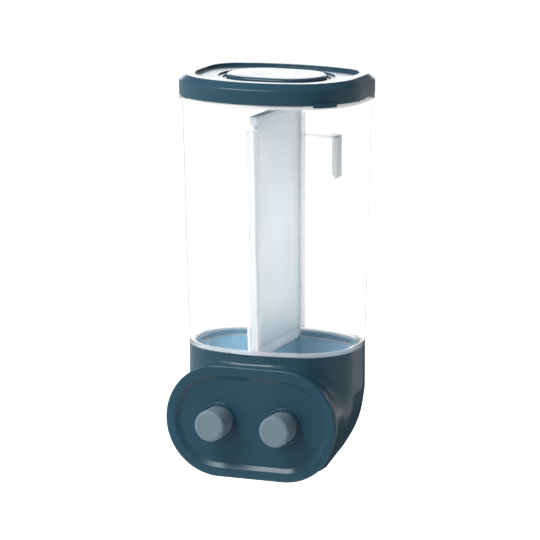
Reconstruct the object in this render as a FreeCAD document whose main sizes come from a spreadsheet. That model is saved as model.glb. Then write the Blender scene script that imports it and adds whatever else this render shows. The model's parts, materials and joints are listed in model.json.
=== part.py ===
"""Wall hung grain container with two compartments, a lift off lid and two push buttons.

Millimetres, +Z up, front towards -Y. Each piece is drawn with Y = 0 on the tank's widest line
and Z = 0 under the housing, and is then placed so that the origin is on the wall, in the middle
of the adhesive pad.
"""
import FreeCAD
import Part
import math
import os
import Sketcher

doc = FreeCAD.newDocument("grain_container")
sheet = doc.addObject("Spreadsheet::Sheet", "Sizes")


class Size:
    """A number together with the formula that works it out from the sheet."""

    def __init__(self, value, formula):
        self.value = value
        self.formula = formula

    def join(self, other, sign, value):
        return Size(value, "(%s %s %s)" % (self.formula, sign, other.formula))

    def __add__(self, other):
        other = as_size(other)
        return self.join(other, "+", self.value + other.value)

    def __sub__(self, other):
        other = as_size(other)
        return self.join(other, "-", self.value - other.value)

    def __mul__(self, other):
        other = as_size(other)
        return self.join(other, "*", self.value * other.value)

    def __truediv__(self, other):
        other = as_size(other)
        return self.join(other, "/", self.value / other.value)

    def __neg__(self):
        return Size(-self.value, "(0 - %s)" % self.formula)


def as_size(number):
    return number if isinstance(number, Size) else Size(float(number), repr(number))


def root(size):
    return Size(math.sqrt(size.value), "sqrt(%s)" % size.formula)


# Plan outline of the tank's foot and of the housing under it
ring_half_width = 64
ring_front = 58.7
ring_back = 41.3
ring_front_radius = 130
ring_front_corner = 40
ring_back_corner = 34
ring_back_radius = 95

# Plan outline of the tank's mouth
mouth_half_width = 67.5
mouth_front = 70
mouth_back = 41.5
mouth_front_radius = 105
mouth_front_corner = 48
mouth_back_corner = 32
mouth_back_radius = 140

# Clearances
slide_gap = 0.3
pin_gap = 0.05
seat_gap = 0.1
rail_gap = 0.2
edge_gap = 0.6
fuse_overlap = 1.1

# Tank
tank_height = 193
tank_wall = 2.2
seat_width = 5
seat_height = 2.5
spigot_depth = 3.9
rim_proud = 2.2
rim_height = 2
rim_drop = 0.7
rail_width = 2.6
rail_depth = 4.5
rail_drop = 2.5

# Hanger channel and wall bracket
hanger_half_width = 29.7
hanger_wall = 2.2
hanger_height = 32
hanger_drop = 44
hanger_proud = 8.2
hanger_lip = 5.5
bracket_flange = 2.4
bracket_plate = 2
bracket_reach = 2
pad_inset = 3.5
pad_thickness = 1

# Divider
divider_thickness = 2.6
divider_drop = 17.5
bead_height = 7
bead_thickness = 6.4

# Lid
lid_gap = 0.5
lid_plate = 5.5
lid_core = 2.7
lid_rim_rise = 2.5
skirt_drop = 7.4
skirt_proud = 2
skirt_wall = 1.6
slope_rise = 4.6
slope_run = 5
lid_rim_width = 6.8
plug_depth = 5.5
plug_wall = 2
gasket_width = 1.4
gasket_height = 2.5
gasket_drop = 1.5
tab_radius = 28
tab_inset = 26.4
tab_drop = 1.4
tab_height = 3.4
grip_half_length = 10.5
grip_radius = 25
grip_height = 3
grip_forward = 10
grip_edge = 2
grip_peg_radius = 3
grip_peg_spread = 18
well_margin = 6.5
well_depth = 1.2

# Housing: a bowl that narrows downwards, and a tapered drum behind the front panel
housing_wall = 2.4
bowl_forward = 20
floor_scale = 0.6
low_height = 10
low_scale = 0.71
middle_height = 24
middle_scale = 0.85
high_height = 42.5
high_scale = 0.96
collar_start = 60
collar_rise = 8.6
drum_proud = 2.7
drum_radius = 41.7
drum_taper = 0.17
drum_back = 5
ledge_height = 2.2
notch_width = 18
notch_offset = 9.5
notch_height = 1.1

# Front panel
panel_thickness = 4.2
panel_border = 7
panel_slope = 3.2
panel_recess = 2.6
panel_edge = 1.2
panel_spigot = 3.5
panel_spigot_wall = 2
lip_height = 2
lip_wall = 1.2

# Buttons, gates and springs
button_spacing = 50.5
button_radius = 11.6
button_proud = 16
button_wall = 2.2
button_edge = 2.2
button_gap = 0.5
button_travel = 14
flange_lip = 1.5
flange_thickness = 2
tongue_thickness = 2
tongue_half_width = 10
pin_radius = 1.5
pin_head_radius = 2.4
pin_head = 1
gate_margin = 0.7
gate_thickness = 2.5
gate_drop = 19.7
gate_lap = 1
port_margin = 0.5
spring_radius = 6.5
spring_wire = 0.6

# Funnels, tray and outlets
insert_plate = 2.5
insert_wall = 1.8
centre_wall = 1.6
throat_height = 19.2
throat_half_width = 10
throat_corner = 3
seat_boss_radius = 8
seat_boss_length = 3.8
seat_pin_radius = 4
seat_pin_length = 6.4
seal_height = 1.2
tray_thickness = 2.5
tray_margin = 4.15
tray_lead = 5.5
guide_wall = 1.8
guide_height = 5.3
chute_wall = 1.2
chute_end = 6
leg_radius = 4.5
leg_lead = 1.5
leg_inset = 1.8
boss_radius = 6
boss_height = 2.6
screw_radius = 1.5
screw_head_radius = 3
screw_head = 2
screw_sink = 0.2
screw_length = 10.8
screw_slot_length = 3.6
screw_slot_width = 0.9
screw_slot_depth = 1.1

# Each size above becomes a row of the sheet, and its name then stands for that row
names = [name for name, value in globals().items() if isinstance(value, (int, float))]
for row, name in enumerate(names, 1):
    sheet.set("A%d" % row, name)
    sheet.set("B%d" % row, str(globals()[name]))
    sheet.setAlias("B%d" % row, name)
    globals()[name] = Size(float(globals()[name]), "Sizes." + name)

ZERO = as_size(0)
ONE = as_size(1)
spring_turns = 8

# Levels and lines worked out from the sizes above
drum_half_length = ring_half_width + drum_proud - drum_radius
base_height = drum_radius * 2 + collar_rise
tank_top = base_height + tank_height
seat_top = base_height + seat_height
lid_ceiling = tank_top + lid_gap
lid_floor = lid_ceiling + lid_plate
lid_underside = lid_ceiling + lid_core
lid_top = lid_floor + lid_rim_rise
skirt_bottom = lid_ceiling - skirt_drop
well_floor = lid_floor - well_depth
panel_back = ring_front + seat_gap
panel_front = panel_back + panel_thickness
panel_floor = panel_front - panel_recess
button_level = drum_radius
button_half_spacing = button_spacing / 2
button_front = panel_front + button_proud
button_hole = button_radius + button_gap
flange_radius = button_hole + flange_lip
flange_front = panel_back - slide_gap
flange_back = flange_front - flange_thickness
pin_level = button_level - (button_radius - button_wall + flange_radius) / 2
tongue_front = flange_back - seat_gap
tongue_back = tongue_front - tongue_thickness
spring_seat = tongue_back - button_travel - slide_gap
throat_front = spring_seat - seat_boss_length - insert_wall
throat_back = throat_front - button_travel
gate_level = button_level - gate_drop
gate_top = gate_level + gate_thickness
gate_half_width = throat_half_width + insert_wall + gate_margin
port_half_width = throat_half_width - port_margin
port_length = button_travel - gate_lap - gate_lap
port_back = throat_front + gate_lap
port_front = port_back + port_length
gate_back = throat_back - gate_lap - gate_lap
tray_top = gate_level - slide_gap
tray_bottom = tray_top - tray_thickness
tray_back = gate_back - button_travel - slide_gap
tray_front = port_front + tray_lead
tray_half_width = button_half_spacing + gate_half_width + slide_gap + guide_wall + tray_margin
leg_front = throat_front + leg_lead
leg_rear = tray_back + leg_inset
throat_bottom = gate_top + slide_gap
throat_level = throat_bottom + throat_height
tongue_top = button_level - spring_radius - spring_wire - edge_gap
spigot_bottom = base_height - spigot_depth
seal_bottom = spigot_bottom - seat_gap - seal_height
insert_top = seal_bottom
insert_bottom = insert_top - insert_plate
ledge_top = insert_bottom - seat_gap
collar_inset = housing_wall + slide_gap
funnel_inset = seat_width + edge_gap
boss_top = housing_wall + boss_height
rail_inner = divider_thickness / 2 + rail_gap
divider_front = ring_front - tank_wall - edge_gap
divider_back = ring_back - tank_wall - edge_gap
hanger_level = tank_top - hanger_drop
divider_top = tank_top - divider_drop
hanger_back = ring_back + hanger_proud
bracket_half_width = hanger_half_width - hanger_wall - slide_gap
bracket_flange_back = hanger_back - hanger_wall - slide_gap
bracket_front = bracket_flange_back - bracket_flange
bracket_top = hanger_level - hanger_wall - slide_gap
bracket_wall_front = hanger_back + slide_gap + edge_gap
bracket_back = bracket_wall_front + bracket_plate
wall_line = bracket_back + pad_thickness
mount_level = hanger_level - hanger_height / 2


class Outline:
    """Plan outline of eight tangent arcs and lines, symmetric about X = 0."""

    def __init__(self, half_width, front, back, front_radius, front_corner, back_corner, back_radius):
        self.half_width = half_width
        self.front = front
        self.back = back
        self.front_radius = front_radius
        self.front_corner = front_corner
        self.back_corner = back_corner
        self.back_radius = back_radius

    def scaled(self, scale, centre):
        """The outline scaled about the point (0, -centre)."""
        return Outline(self.half_width * scale, centre + (self.front - centre) * scale,
                       (self.back + centre) * scale - centre, self.front_radius * scale,
                       self.front_corner * scale, self.back_corner * scale, self.back_radius * scale)

    def grown(self, offset):
        """The parallel outline at a distance outside this one."""
        return Outline(self.half_width + offset, self.front + offset, self.back + offset,
                       self.front_radius + offset, self.front_corner + offset,
                       self.back_corner + offset, self.back_radius + offset)

    def front_corner_centre(self):
        across = self.half_width - self.front_corner
        reach = self.front_radius - self.front_corner
        return across, self.front_radius - self.front - root(reach * reach - across * across)

    def back_corner_centre(self):
        across = self.half_width - self.back_corner
        reach = self.back_radius - self.back_corner
        return across, self.back - self.back_radius + root(reach * reach - across * across)


ring = Outline(ring_half_width, ring_front, ring_back, ring_front_radius, ring_front_corner,
               ring_back_corner, ring_back_radius)
mouth = Outline(mouth_half_width, mouth_front, mouth_back, mouth_front_radius, mouth_front_corner,
                mouth_back_corner, mouth_back_radius)


def vector(x, y):
    return FreeCAD.Vector(x, y, 0)


def new_body(name, x=ZERO):
    """A body whose placement puts the shared drawing frame on the wall."""
    body = doc.addObject("PartDesign::Body", name)
    body.Label = name
    place(body, x)
    return body


def place(piece, x=ZERO):
    piece.setExpression("Placement.Base.x", x.formula)
    piece.setExpression("Placement.Base.y", (-wall_line).formula)
    piece.setExpression("Placement.Base.z", (-mount_level).formula)


def attach(body, feature, role, offset):
    """Attach to an origin plane, moved along the plane's normal (XZ faces the front, -Y)."""
    planes = [item for item in body.Origin.OriginFeatures if item.Role == role]
    feature.AttachmentSupport = [(planes[0], "")]
    feature.MapMode = "FlatFace"
    for axis, distance in zip("xyz", offset):
        feature.setExpression("AttachmentOffset.Base." + axis, distance.formula)


def new_sketch(body, role, offset):
    sketch = body.newObject("Sketcher::SketchObject", body.Name + "_sketch")
    attach(body, sketch, role, (ZERO, ZERO, offset))
    return sketch


def constrain(sketch, kind, *parts):
    """Add one constraint; a last part that is a Size is bound to its formula."""
    size = parts[-1]
    if not isinstance(size, Size):
        sketch.addConstraint(Sketcher.Constraint(kind, *parts))
        return
    index = sketch.addConstraint(Sketcher.Constraint(kind, *parts[:-1], size.value))
    sketch.setExpression("Constraints[%d]" % index, size.formula)


def arc_between(centre, radius, start, end):
    circle = Part.Circle(FreeCAD.Vector(centre[0], centre[1], 0), FreeCAD.Vector(0, 0, 1), radius)
    return Part.ArcOfCircle(circle, start, end)


def direction(from_point, to_point):
    return math.atan2(to_point[1] - from_point[1], to_point[0] - from_point[0])


def corner_point(centre):
    across, along = centre
    return (across.value, along.value)


def outline_arcs(outline):
    """Right hand corner, side and rear corner, with the centres and angles the end arcs need."""
    front_centre = (0, outline.front_radius.value - outline.front.value)
    back_centre = (0, outline.back.value - outline.back_radius.value)
    corner = corner_point(outline.front_corner_centre())
    rear_corner = corner_point(outline.back_corner_centre())
    front_angle = direction(front_centre, corner)
    back_angle = direction(back_centre, rear_corner)
    width = outline.half_width.value
    side = [arc_between(corner, outline.front_corner.value, front_angle, 0),
            Part.LineSegment(vector(width, corner[1]), vector(width, rear_corner[1])),
            arc_between(rear_corner, outline.back_corner.value, 0, back_angle)]
    return side, (front_centre, front_angle), (back_centre, back_angle)


def left_side(outline):
    """Left hand rear corner, side and corner, in drawing order."""
    corner = corner_point(outline.front_corner_centre())
    rear_corner = corner_point(outline.back_corner_centre())
    _, (_, front_angle), (_, back_angle) = outline_arcs(outline)
    width = -outline.half_width.value
    half_turn = math.pi
    return [arc_between((-rear_corner[0], rear_corner[1]), outline.back_corner.value,
                        half_turn - back_angle, half_turn),
            Part.LineSegment(vector(width, rear_corner[1]), vector(width, corner[1])),
            arc_between((-corner[0], corner[1]), outline.front_corner.value, -half_turn,
                        -half_turn - front_angle)]


def bind_outline(sketch, outline, front, back, corners, rear_corners, sides):
    """Size the arcs and sides of an outline, given by their numbers in the sketch."""
    constrain(sketch, "Radius", front, outline.front_radius)
    constrain(sketch, "Radius", back, outline.back_radius)
    for corner in corners:
        constrain(sketch, "Radius", corner, outline.front_corner)
    for corner in rear_corners:
        constrain(sketch, "Radius", corner, outline.back_corner)
    for side in sides:
        constrain(sketch, "Vertical", side)
    for arc in (front, back):
        constrain(sketch, "PointOnObject", arc, 3, -2)
    constrain(sketch, "DistanceY", -1, 1, front, 3, outline.front_radius - outline.front)
    constrain(sketch, "DistanceY", back, 3, -1, 1, outline.back_radius - outline.back)
    constrain(sketch, "DistanceX", -1, 1, sides[0], 1, outline.half_width)
    for side in sides[1:]:
        constrain(sketch, "DistanceX", side, 1, -1, 1, outline.half_width)


def draw_outline(sketch, outline):
    """Closed outline, counterclockwise from the front arc."""
    first = sketch.GeometryCount
    side, (front_centre, front_angle), (back_centre, back_angle) = outline_arcs(outline)
    half_turn = math.pi
    front_arc = arc_between(front_centre, outline.front_radius.value, -half_turn - front_angle, front_angle)
    back_arc = arc_between(back_centre, outline.back_radius.value, back_angle, half_turn - back_angle)
    sketch.addGeometry([front_arc] + side + [back_arc] + left_side(outline))
    for item in range(8):
        constrain(sketch, "Tangent", first + item, 2, first + (item + 1) % 8, 1)
    bind_outline(sketch, outline, first, first + 4, (first + 1, first + 7), (first + 3, first + 5),
                 (first + 2, first + 6))


def draw_half_outline(sketch, outline, inner):
    """Right hand half of an outline, closed by a straight edge at X = inner."""
    side, (front_centre, front_angle), (back_centre, back_angle) = outline_arcs(outline)
    front_radius, back_radius = outline.front_radius.value, outline.back_radius.value
    front_start = -math.acos(inner.value / front_radius)
    back_end = math.acos(inner.value / back_radius)
    front_y = front_centre[1] + front_radius * math.sin(front_start)
    back_y = back_centre[1] + back_radius * math.sin(back_end)
    front_arc = arc_between(front_centre, front_radius, front_start, front_angle)
    back_arc = arc_between(back_centre, back_radius, back_angle, back_end)
    edge = Part.LineSegment(vector(inner.value, back_y), vector(inner.value, front_y))
    sketch.addGeometry([front_arc] + side + [back_arc, edge])
    for item in range(4):
        constrain(sketch, "Tangent", item, 2, item + 1, 1)
    constrain(sketch, "Coincident", 4, 2, 5, 1)
    constrain(sketch, "Coincident", 5, 2, 0, 1)
    constrain(sketch, "Vertical", 5)
    constrain(sketch, "DistanceX", -1, 1, 5, 1, inner)
    bind_outline(sketch, outline, 0, 4, (1,), (3,), (2,))


def draw_throat(sketch, grow):
    """Right hand throat: a rectangle with its two outer corners rounded, grown by a wall."""
    inner = button_half_spacing - throat_half_width - grow
    outer = button_half_spacing + throat_half_width + grow
    front = throat_front + grow
    back = throat_back - grow
    corner = throat_corner + grow
    left, right, low, high, radius = inner.value, outer.value, -front.value, -back.value, corner.value
    quarter = math.pi / 2
    sketch.addGeometry([
        Part.LineSegment(vector(left, low), vector(right - radius, low)),
        arc_between((right - radius, low + radius), radius, -quarter, 0),
        Part.LineSegment(vector(right, low + radius), vector(right, high - radius)),
        arc_between((right - radius, high - radius), radius, 0, quarter),
        Part.LineSegment(vector(right - radius, high), vector(left, high)),
        Part.LineSegment(vector(left, high), vector(left, low)),
    ])
    for item in range(4):
        constrain(sketch, "Tangent", item, 2, item + 1, 1)
    constrain(sketch, "Coincident", 4, 2, 5, 1)
    constrain(sketch, "Coincident", 5, 2, 0, 1)
    constrain(sketch, "Horizontal", 0)
    constrain(sketch, "Vertical", 5)
    constrain(sketch, "Radius", 1, corner)
    constrain(sketch, "Radius", 3, corner)
    constrain(sketch, "DistanceX", -1, 1, 0, 1, inner)
    constrain(sketch, "DistanceX", -1, 1, 2, 1, outer)
    constrain(sketch, "DistanceY", 0, 1, -1, 1, front)
    constrain(sketch, "DistanceY", 4, 1, -1, 1, back)


def draw_stadium(sketch, half_length, radius, rise):
    """Two half circles joined by straight lines, long along the sketch's first axis."""
    first = sketch.GeometryCount
    quarter = math.pi / 2
    reach, size, middle = half_length.value, radius.value, rise.value
    sketch.addGeometry([
        arc_between((reach, middle), size, -quarter, quarter),
        Part.LineSegment(vector(reach, middle + size), vector(-reach, middle + size)),
        arc_between((-reach, middle), size, quarter, 3 * quarter),
        Part.LineSegment(vector(-reach, middle - size), vector(reach, middle - size)),
    ])
    for item in range(4):
        constrain(sketch, "Tangent", first + item, 2, first + (item + 1) % 4, 1)
    constrain(sketch, "Equal", first, first + 2)
    constrain(sketch, "Radius", first, radius)
    constrain(sketch, "Horizontal", first + 1)
    constrain(sketch, "DistanceX", -1, 1, first, 3, half_length)
    constrain(sketch, "DistanceX", first + 2, 3, -1, 1, half_length)
    constrain(sketch, "DistanceY", -1, 1, first, 3, rise)


def draw_rectangle(sketch, left, right, low, high):
    """Rectangle whose four sides are given as signed distances from the sketch's axes."""
    x0, x1, y0, y1 = left.value, right.value, low.value, high.value
    sketch.addGeometry([
        Part.LineSegment(vector(x0, y0), vector(x1, y0)),
        Part.LineSegment(vector(x1, y0), vector(x1, y1)),
        Part.LineSegment(vector(x1, y1), vector(x0, y1)),
        Part.LineSegment(vector(x0, y1), vector(x0, y0)),
    ])
    for item in range(4):
        constrain(sketch, "Coincident", item, 2, (item + 1) % 4, 1)
    for item in (0, 2):
        constrain(sketch, "Horizontal", item)
        constrain(sketch, "Vertical", item + 1)
    constrain(sketch, "DistanceX", -1, 1, 0, 1, left)
    constrain(sketch, "DistanceX", -1, 1, 1, 1, right)
    constrain(sketch, "DistanceY", -1, 1, 0, 1, low)
    constrain(sketch, "DistanceY", -1, 1, 2, 1, high)


def extrude(body, kind, sketch, length, upwards):
    """Pad or Pocket along the sketch's normal (upwards) or against it."""
    feature = body.newObject("PartDesign::" + kind, body.Name + "_" + kind.lower())
    feature.Profile = sketch
    feature.setExpression("Length", length.formula)
    feature.Reversed = upwards if kind == "Pocket" else not upwards
    return feature


def outline_sketch(body, level, outline, *offsets):
    """Level sketch with one outline for each offset: the second makes a ring of it."""
    sketch = new_sketch(body, "XY_Plane", level)
    for offset in offsets:
        draw_outline(sketch, outline.grown(offset))
    return sketch


def outline_pad(body, low, high, outline, *offsets):
    return extrude(body, "Pad", outline_sketch(body, low, outline, *offsets), high - low, True)


def outline_pocket(body, low, high, outline, offset):
    return extrude(body, "Pocket", outline_sketch(body, low, outline, offset), high - low, True)


def stadium_sketch(body, forward, half_length, radius, rise):
    """Upright stadium in the plane Y = -forward."""
    sketch = new_sketch(body, "XZ_Plane", forward)
    draw_stadium(sketch, half_length, radius, rise)
    return sketch


def loft(body, kind, sketches, ruled=True):
    feature = body.newObject("PartDesign::" + kind, body.Name + "_loft")
    feature.Profile = sketches[0]
    feature.Sections = [(sketch, [""]) for sketch in sketches[1:]]
    feature.Ruled = ruled
    return feature


def box(body, kind, left, right, front, back, low, high):
    """Box from X left to right, from Y -front to -back, and from Z low to high."""
    feature = body.newObject("PartDesign::%sBox" % kind, body.Name + "_box")
    feature.setExpression("Length", (right - left).formula)
    feature.setExpression("Width", (front - back).formula)
    feature.setExpression("Height", (high - low).formula)
    attach(body, feature, "XY_Plane", (left, -front, low))
    return feature


def upright_cylinder(body, kind, radius, x, forward, low, high):
    feature = body.newObject("PartDesign::%sCylinder" % kind, body.Name + "_cylinder")
    feature.setExpression("Radius", radius.formula)
    feature.setExpression("Height", (high - low).formula)
    attach(body, feature, "XY_Plane", (x, -forward, low))
    return feature


def level_cylinder(body, kind, radius, x, level, front, back):
    """Cylinder along Y, from Y -front to -back."""
    feature = body.newObject("PartDesign::%sCylinder" % kind, body.Name + "_cylinder")
    feature.setExpression("Radius", radius.formula)
    feature.setExpression("Height", (front - back).formula)
    attach(body, feature, "XZ_Plane", (x, level, back))
    return feature


def mirror(body, *features):
    """Copy features to the left hand side."""
    feature = body.newObject("PartDesign::Mirrored", body.Name + "_mirror")
    planes = [item for item in body.Origin.OriginFeatures if item.Role == "YZ_Plane"]
    feature.Originals = list(features)
    feature.MirrorPlane = (planes[0], [""])
    body.Tip = feature
    return feature


def fillet(body, radius, wanted):
    """Round the edges of the body's last feature that the test picks."""
    doc.recompute()
    base = body.Tip
    names = []
    for number, edge in enumerate(base.Shape.Edges, 1):
        if wanted(edge):
            names.append("Edge%d" % number)
    feature = body.newObject("PartDesign::Fillet", body.Name + "_fillet")
    feature.Base = (base, names)
    feature.setExpression("Radius", radius.formula)
    return feature


def edge_at_y(edge, forward):
    box = edge.BoundBox
    return abs(box.YMin + forward.value) < 0.01 and abs(box.YMax + forward.value) < 0.01


def edge_at_z(edge, level):
    box = edge.BoundBox
    return abs(box.ZMin - level.value) < 0.01 and abs(box.ZMax - level.value) < 0.01


def front_at(level):
    """Front of the tank's outer wall at a level, between foot and mouth."""
    return ring_front + (mouth_front - ring_front) * (level - base_height) / tank_height


def make_tank():
    body = new_body("clear_tank")
    foot = outline_sketch(body, base_height, ring, ZERO)
    loft(body, "AdditiveLoft", [foot, outline_sketch(body, tank_top, mouth, ZERO)])
    rim_top = skirt_bottom - rim_drop
    outline_pad(body, rim_top - rim_height, rim_top, mouth, rim_proud)
    bottom = hanger_level - hanger_height
    inside = hanger_half_width - hanger_wall
    wall_start = -(ring_back - tank_wall - rail_depth)
    box(body, "Additive", -hanger_half_width, -inside, wall_start, -hanger_back, bottom, hanger_level)
    box(body, "Additive", inside, hanger_half_width, wall_start, -hanger_back, bottom, hanger_level)
    lip_start = -(hanger_back - hanger_wall)
    lip_edge = inside - hanger_lip
    box(body, "Additive", -hanger_half_width, -lip_edge, lip_start, -hanger_back, bottom, hanger_level)
    box(body, "Additive", lip_edge, hanger_half_width, lip_start, -hanger_back, bottom, hanger_level)
    box(body, "Additive", -hanger_half_width, hanger_half_width, wall_start, -hanger_back,
        hanger_level - hanger_wall, hanger_level)
    inner_foot = outline_sketch(body, base_height, ring, -tank_wall)
    loft(body, "SubtractiveLoft", [inner_foot, outline_sketch(body, tank_top, mouth, -tank_wall)])
    outline_pad(body, base_height, seat_top, ring, ZERO, -seat_width)
    outline_pad(body, spigot_bottom, seat_top, ring, -collar_inset, -seat_width)
    rail_top = divider_top - bead_height - rail_drop
    rail_outer = rail_inner + rail_width
    for left, right in ((rail_inner, rail_outer), (-rail_outer, -rail_inner)):
        ends = []
        for level in (seat_top, rail_top):
            sketch = new_sketch(body, "XY_Plane", level)
            draw_rectangle(sketch, left, right, fuse_overlap - front_at(level), rail_depth - divider_front)
            ends.append(sketch)
        loft(body, "AdditiveLoft", ends)
        box(body, "Additive", left, right, rail_depth - divider_back, fuse_overlap - ring_back,
            seat_top, rail_top)
    return body


def make_divider():
    body = new_body("divider_panel")
    half = divider_thickness / 2
    bottom = seat_top + edge_gap
    narrow = seat_width - tank_wall
    box(body, "Additive", -half, half, divider_front, -divider_back, bottom, divider_top)
    box(body, "Additive", -half, half, divider_front - narrow, -(divider_back - narrow),
        insert_top + edge_gap, bottom + edge_gap)
    half_bead = bead_thickness / 2
    box(body, "Additive", -half_bead, half_bead, divider_front, -divider_back, divider_top - bead_height,
        divider_top)
    return body


def make_lid():
    body = new_body("lid_shell")
    slope_bottom = lid_top - slope_rise
    outline_pad(body, skirt_bottom, slope_bottom, mouth, skirt_proud)
    edge = outline_sketch(body, slope_bottom, mouth, skirt_proud)
    loft(body, "AdditiveLoft", [edge, outline_sketch(body, lid_top, mouth, skirt_proud - slope_run)])
    across, along = mouth.front_corner_centre()
    reach = (mouth_front_corner + skirt_proud - tab_inset) * root(as_size(0.5))
    tab_bottom = skirt_bottom - tab_drop
    upright_cylinder(body, "Additive", tab_radius, across + reach, reach - along, tab_bottom,
                     tab_bottom + tab_height)
    outline_pocket(body, skirt_bottom, lid_ceiling, mouth, skirt_proud - skirt_wall)
    outline_pocket(body, tab_bottom, skirt_bottom, mouth, rim_proud + slide_gap)
    outline_pocket(body, lid_floor, lid_top, mouth, skirt_proud - slope_run - lid_rim_width)
    well = new_sketch(body, "XY_Plane", well_floor)
    draw_stadium(well, grip_half_length, grip_radius + well_margin, -grip_forward)
    extrude(body, "Pocket", well, well_depth, True)
    plug_outer = -(tank_wall + edge_gap + gasket_width)
    outline_pad(body, lid_ceiling - plug_depth, lid_ceiling, mouth, plug_outer, plug_outer - plug_wall)
    outline_pocket(body, lid_ceiling, lid_underside, mouth, plug_outer - plug_wall)
    for x in (-grip_peg_spread, grip_peg_spread):
        upright_cylinder(body, "Subtractive", grip_peg_radius + pin_gap, x, grip_forward, lid_underside,
                         well_floor)
    return body


def make_grip():
    body = new_body("lid_grip")
    sketch = new_sketch(body, "XY_Plane", well_floor)
    draw_stadium(sketch, grip_half_length, grip_radius, -grip_forward)
    extrude(body, "Pad", sketch, grip_height, True)
    top = well_floor + grip_height
    fillet(body, grip_edge, lambda edge: edge_at_z(edge, top))
    for x in (-grip_peg_spread, grip_peg_spread):
        upright_cylinder(body, "Additive", grip_peg_radius, x, grip_forward, lid_underside, well_floor)
    return body


def make_lid_gasket():
    body = new_body("lid_gasket")
    top = lid_ceiling - gasket_drop
    outer = -(tank_wall + edge_gap)
    outline_pad(body, top - gasket_height, top, mouth, outer, outer - gasket_width + seat_gap)
    return body


def bowl_sketches(body, floor, offset):
    """Level sections of the housing's bowl from its floor up to the collar."""
    slope = (low_scale - floor_scale) / low_height
    levels = [(floor, floor_scale + slope * floor), (low_height, low_scale),
              (middle_height, middle_scale), (high_height, high_scale), (collar_start, ONE)]
    return [outline_sketch(body, level, ring.scaled(scale, bowl_forward), offset)
            for level, scale in levels]


def drum_sketches(body, inset):
    """Upright sections of the drum at its mouth, behind the panel, and at its narrow back."""
    narrow = (panel_back - drum_back) * drum_taper
    return [stadium_sketch(body, panel_back, drum_half_length, drum_radius - inset, drum_radius),
            stadium_sketch(body, drum_back, drum_half_length, drum_radius - inset - narrow, drum_radius)]


def make_housing():
    body = new_body("base_housing")
    loft(body, "AdditiveLoft", bowl_sketches(body, ZERO, ZERO), False)
    outline_pad(body, collar_start, base_height, ring, ZERO)
    loft(body, "AdditiveLoft", drum_sketches(body, ZERO))
    loft(body, "SubtractiveLoft", bowl_sketches(body, housing_wall, -housing_wall), False)
    outline_pocket(body, collar_start, base_height, ring, -housing_wall)
    loft(body, "SubtractiveLoft", drum_sketches(body, housing_wall))
    outline_pad(body, ledge_top - ledge_height, ledge_top, ring, fuse_overlap - housing_wall,
                -seat_width - seat_gap - seat_gap)
    box(body, "Subtractive", -notch_offset - notch_width / 2, notch_width / 2 - notch_offset,
        panel_front, ring_front - fuse_overlap, base_height - notch_height, base_height)
    for forward in (leg_front, leg_rear):
        upright_cylinder(body, "Additive", boss_radius, ZERO, forward, fuse_overlap, boss_top)
        upright_cylinder(body, "Subtractive", screw_radius + slide_gap, ZERO, forward, ZERO, boss_top)
        upright_cylinder(body, "Subtractive", screw_head_radius + slide_gap, ZERO, forward, -ONE,
                         screw_sink + screw_head)
    reach = throat_half_width + chute_wall + slide_gap
    margin = chute_wall + slide_gap
    for middle in (-button_half_spacing, button_half_spacing):
        box(body, "Subtractive", middle - reach, middle + reach, throat_front + margin,
            throat_back - margin, -ONE, tray_bottom)
    return body


def make_panel():
    body = new_body("front_panel")
    outer = stadium_sketch(body, panel_back, drum_half_length, drum_radius, drum_radius)
    extrude(body, "Pad", outer, panel_thickness, True)
    fillet(body, panel_edge, lambda edge: edge_at_y(edge, panel_front))
    inner = drum_radius - panel_border
    step = [stadium_sketch(body, panel_front, drum_half_length, inner, drum_radius),
            stadium_sketch(body, panel_floor, drum_half_length, inner - panel_slope, drum_radius)]
    loft(body, "SubtractiveLoft", step)
    spigot = drum_radius - housing_wall - slide_gap - drum_taper * panel_spigot
    sketch = stadium_sketch(body, panel_back, drum_half_length, spigot, drum_radius)
    draw_stadium(sketch, drum_half_length, spigot - panel_spigot_wall, drum_radius)
    extrude(body, "Pad", sketch, panel_spigot, False)
    for middle in (-button_half_spacing, button_half_spacing):
        level_cylinder(body, "Additive", button_hole + lip_wall, middle, button_level,
                       panel_floor + lip_height, panel_floor)
        level_cylinder(body, "Subtractive", button_hole, middle, button_level,
                       panel_floor + lip_height, panel_back)
    return body


def make_button(name, middle):
    body = new_body(name, middle)
    level_cylinder(body, "Additive", button_radius, ZERO, button_level, button_front, flange_back)
    fillet(body, button_edge, lambda edge: edge_at_y(edge, button_front))
    level_cylinder(body, "Additive", flange_radius, ZERO, button_level, flange_front, flange_back)
    level_cylinder(body, "Subtractive", button_radius - button_wall, ZERO, button_level,
                   button_front - button_wall, flange_back)
    level_cylinder(body, "Subtractive", pin_radius + pin_gap, ZERO, pin_level, flange_front, flange_back)
    return body


def make_gate(name, middle):
    body = new_body(name, middle)
    box(body, "Additive", -gate_half_width, gate_half_width, tongue_front, gate_back, gate_level, gate_top)
    box(body, "Subtractive", -port_half_width, port_half_width, port_front, port_back, gate_level, gate_top)
    box(body, "Additive", -tongue_half_width, tongue_half_width, tongue_front, tongue_back, gate_level,
        tongue_top)
    level_cylinder(body, "Subtractive", pin_radius + pin_gap, ZERO, pin_level, tongue_front, tongue_back)
    return body


def make_gate_pin(name, middle):
    body = new_body(name, middle)
    level_cylinder(body, "Additive", pin_radius, ZERO, pin_level, flange_front - seat_gap, tongue_back)
    level_cylinder(body, "Additive", pin_head_radius, ZERO, pin_level, tongue_back, tongue_back - pin_head)
    return body


def tangent_arc(start, tangent, end):
    """Arc that leaves start along the tangent and reaches end."""
    chord = end - start
    half_angle = tangent.getAngle(chord)
    corner = start + tangent * (chord.Length / 2 / math.cos(half_angle))
    middle = (start + end) * 0.5
    rise = math.cos(half_angle) / (1 + math.cos(half_angle))
    return Part.Arc(start, middle + (corner - middle) * rise, end).toShape()


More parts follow.
